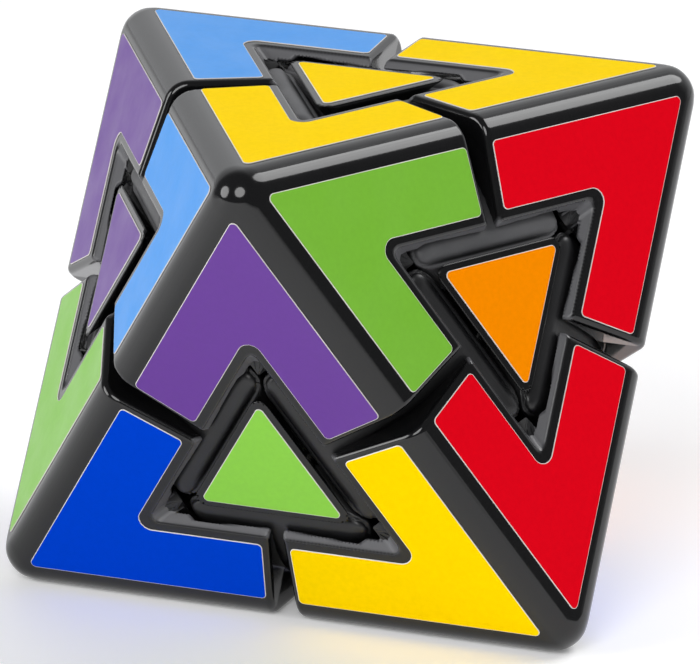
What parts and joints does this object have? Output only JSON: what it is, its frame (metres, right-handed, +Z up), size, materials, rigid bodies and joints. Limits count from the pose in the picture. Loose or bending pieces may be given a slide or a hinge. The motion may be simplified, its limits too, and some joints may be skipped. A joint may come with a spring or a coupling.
{
  "type": "octahedral twisty puzzle",
  "caption": "Octahedral twisty puzzle of glossy black plastic with sunk triangular windows and coloured stickers, lying on one face; its corners turn about the centre.",
  "frame": {"origin": "middle of the bounding box at the height of the bottom face, which is under the mechanism's centre", "axes": "+Z up, square to the face it lies on; -Y towards the upper front corner; +X to the right"},
  "size_m": [0.0686, 0.0784, 0.0572],
  "materials": {
    "shell": "glossy moulded",
    "inner": "satin moulded",
    "core": "plain moulded",
    "steel": "zinc plated"
  },
  "bodies": {
    "core": {"core": "core", "screw_top_front": "steel", "washer_top_front": "steel", "screw_top_left": "steel", "washer_top_left": "steel", "screw_top_right": "steel", "washer_top_right": "steel", "screw_base_right": "steel", "washer_base_right": "steel", "screw_base_left": "steel", "washer_base_left": "steel", "screw_base_rear": "steel", "washer_base_rear": "steel", "slider_top_left_top_right": "inner", "slider_top_left_base_left": "inner", "slider_top_right_base_right": "inner", "slider_base_right_base_left": "inner"},
    "corner_top_front": {"cap_top_front": "shell", "stem_top_front": "inner", "spring_top_front": "steel", "slider_top_front_top_left": "inner", "slider_top_front_top_right": "inner", "slider_top_front_base_right": "inner", "slider_top_front_base_left": "inner", "tile_top": "shell", "tile_upper_right": "shell", "tile_upper_left": "shell", "tile_front": "shell"},
    "corner_top_left": {"cap_top_left": "shell", "stem_top_left": "inner", "spring_top_left": "steel"},
    "corner_top_right": {"cap_top_right": "shell", "stem_top_right": "inner", "spring_top_right": "steel"},
    "corner_base_right": {"cap_base_right": "shell", "stem_base_right": "inner", "spring_base_right": "steel"},
    "corner_base_left": {"cap_base_left": "shell", "stem_base_left": "inner", "spring_base_left": "steel"},
    "corner_base_rear": {"cap_base_rear": "shell", "stem_base_rear": "inner", "spring_base_rear": "steel", "slider_top_left_base_rear": "inner", "slider_top_right_base_rear": "inner", "slider_base_right_base_rear": "inner", "slider_base_left_base_rear": "inner", "tile_rear": "shell", "tile_lower_right": "shell", "tile_lower_left": "shell", "tile_bottom": "shell"}
  },
  "joints": [
    {"name": "turn_top_front", "type": "hinge", "parent": "core", "child": "corner_top_front", "pos_m": [0, 0, 0.02858], "axis": [0, -0.8165, 0.5773], "continuous": true},
    {"name": "turn_top_left", "type": "hinge", "parent": "core", "child": "corner_top_left", "pos_m": [0, 0, 0.02858], "axis": [-0.7071, 0.4082, 0.5774], "continuous": true},
    {"name": "turn_top_right", "type": "hinge", "parent": "core", "child": "corner_top_right", "pos_m": [0, 0, 0.02858], "axis": [0.7071, 0.4082, 0.5774], "continuous": true},
    {"name": "turn_base_right", "type": "hinge", "parent": "core", "child": "corner_base_right", "pos_m": [0, 0, 0.02858], "axis": [0.7071, -0.4082, -0.5774], "continuous": true},
    {"name": "turn_base_left", "type": "hinge", "parent": "core", "child": "corner_base_left", "pos_m": [0, 0, 0.02858], "axis": [-0.7071, -0.4082, -0.5774], "continuous": true},
    {"name": "turn_base_rear", "type": "hinge", "parent": "core", "child": "corner_base_rear", "pos_m": [0, 0, 0.02858], "axis": [0, 0.8165, -0.5773], "continuous": true}
  ]
}
